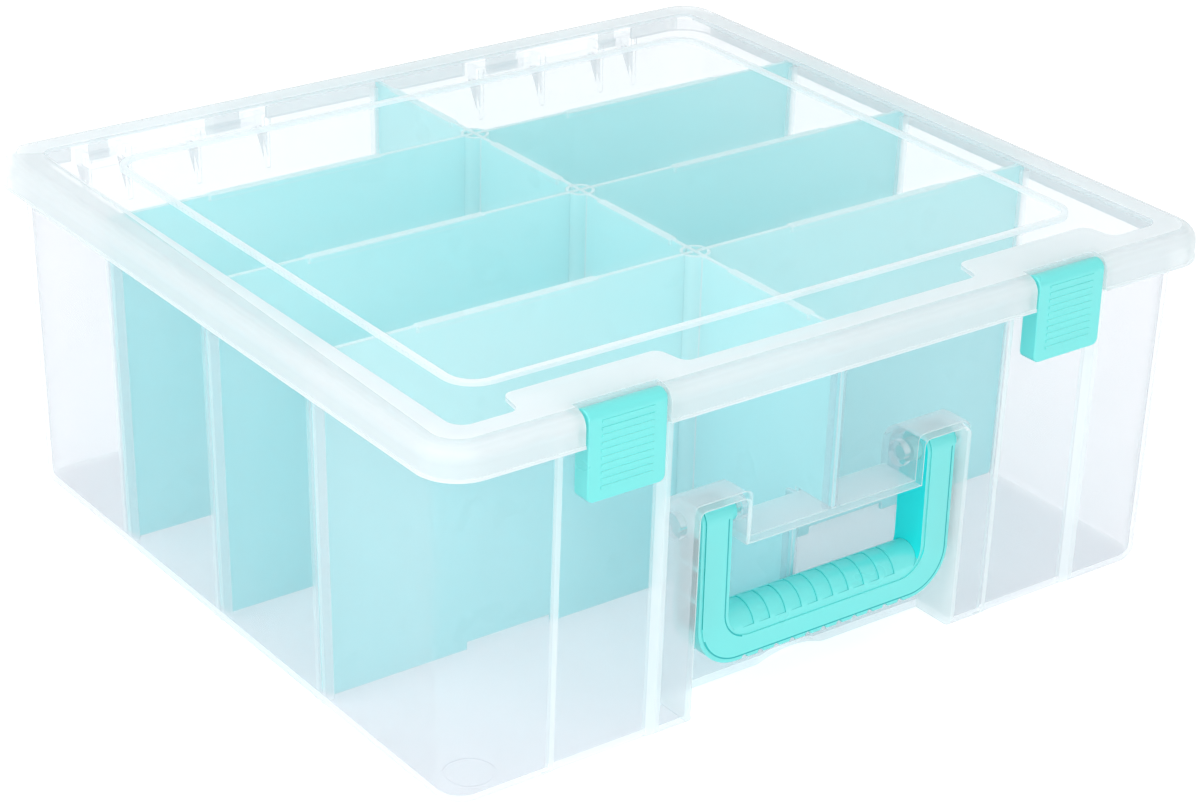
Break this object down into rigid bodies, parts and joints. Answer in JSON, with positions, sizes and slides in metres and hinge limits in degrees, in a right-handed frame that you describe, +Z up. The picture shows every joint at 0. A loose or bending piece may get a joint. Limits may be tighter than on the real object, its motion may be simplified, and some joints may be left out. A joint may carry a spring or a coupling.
{
  "type": "compartment storage box",
  "caption": "Shallow clear plastic box with a hinged lid, snap latches, a swing-out carrying handle and loose cross dividers that part the inside into compartments.",
  "frame": {"origin": "under the middle of the closed box, on the surface it stands on", "axes": "+X to the right along the front, +Y to the back where the hinge is, +Z up"},
  "size_m": [0.387, 0.359, 0.158],
  "materials": {
    "clear_plastic": "clear, moulded polypropylene with a slight haze",
    "aqua_plastic": "satin moulded plastic, slightly translucent",
    "divider_plastic": "translucent moulded plastic"
  },
  "bodies": {
    "tray_body": {"tray": "clear_plastic", "long_divider": "divider_plastic", "back_left_divider": "divider_plastic", "back_right_divider": "divider_plastic", "middle_left_divider": "divider_plastic", "middle_right_divider": "divider_plastic", "front_left_divider": "divider_plastic", "front_right_divider": "divider_plastic"},
    "lid_body": {"lid": "clear_plastic"},
    "left_latch_body": {"latch_left": "aqua_plastic"},
    "right_latch_body": {"latch_right": "aqua_plastic"},
    "handle_body": {"handle": "aqua_plastic"}
  },
  "joints": [
    {"name": "lid_hinge", "type": "hinge", "parent": "tray_body", "child": "lid_body", "pos_m": [0, 0.176, 0.145], "axis": [-1, 0, 0], "range_deg": [0, 105]},
    {"name": "left_latch_pivot", "type": "hinge", "parent": "lid_body", "child": "left_latch_body", "pos_m": [-0.1117, -0.1744, 0.1532], "axis": [-1, 0, 0], "range_deg": [0, 170]},
    {"name": "right_latch_pivot", "type": "hinge", "parent": "lid_body", "child": "right_latch_body", "pos_m": [0.1117, -0.1744, 0.1532], "axis": [-1, 0, 0], "range_deg": [0, 170]},
    {"name": "handle_swing", "type": "hinge", "parent": "tray_body", "child": "handle_body", "pos_m": [0, -0.15887, 0.086], "axis": [-1, 0, 0], "range_deg": [0, 90]}
  ]
}
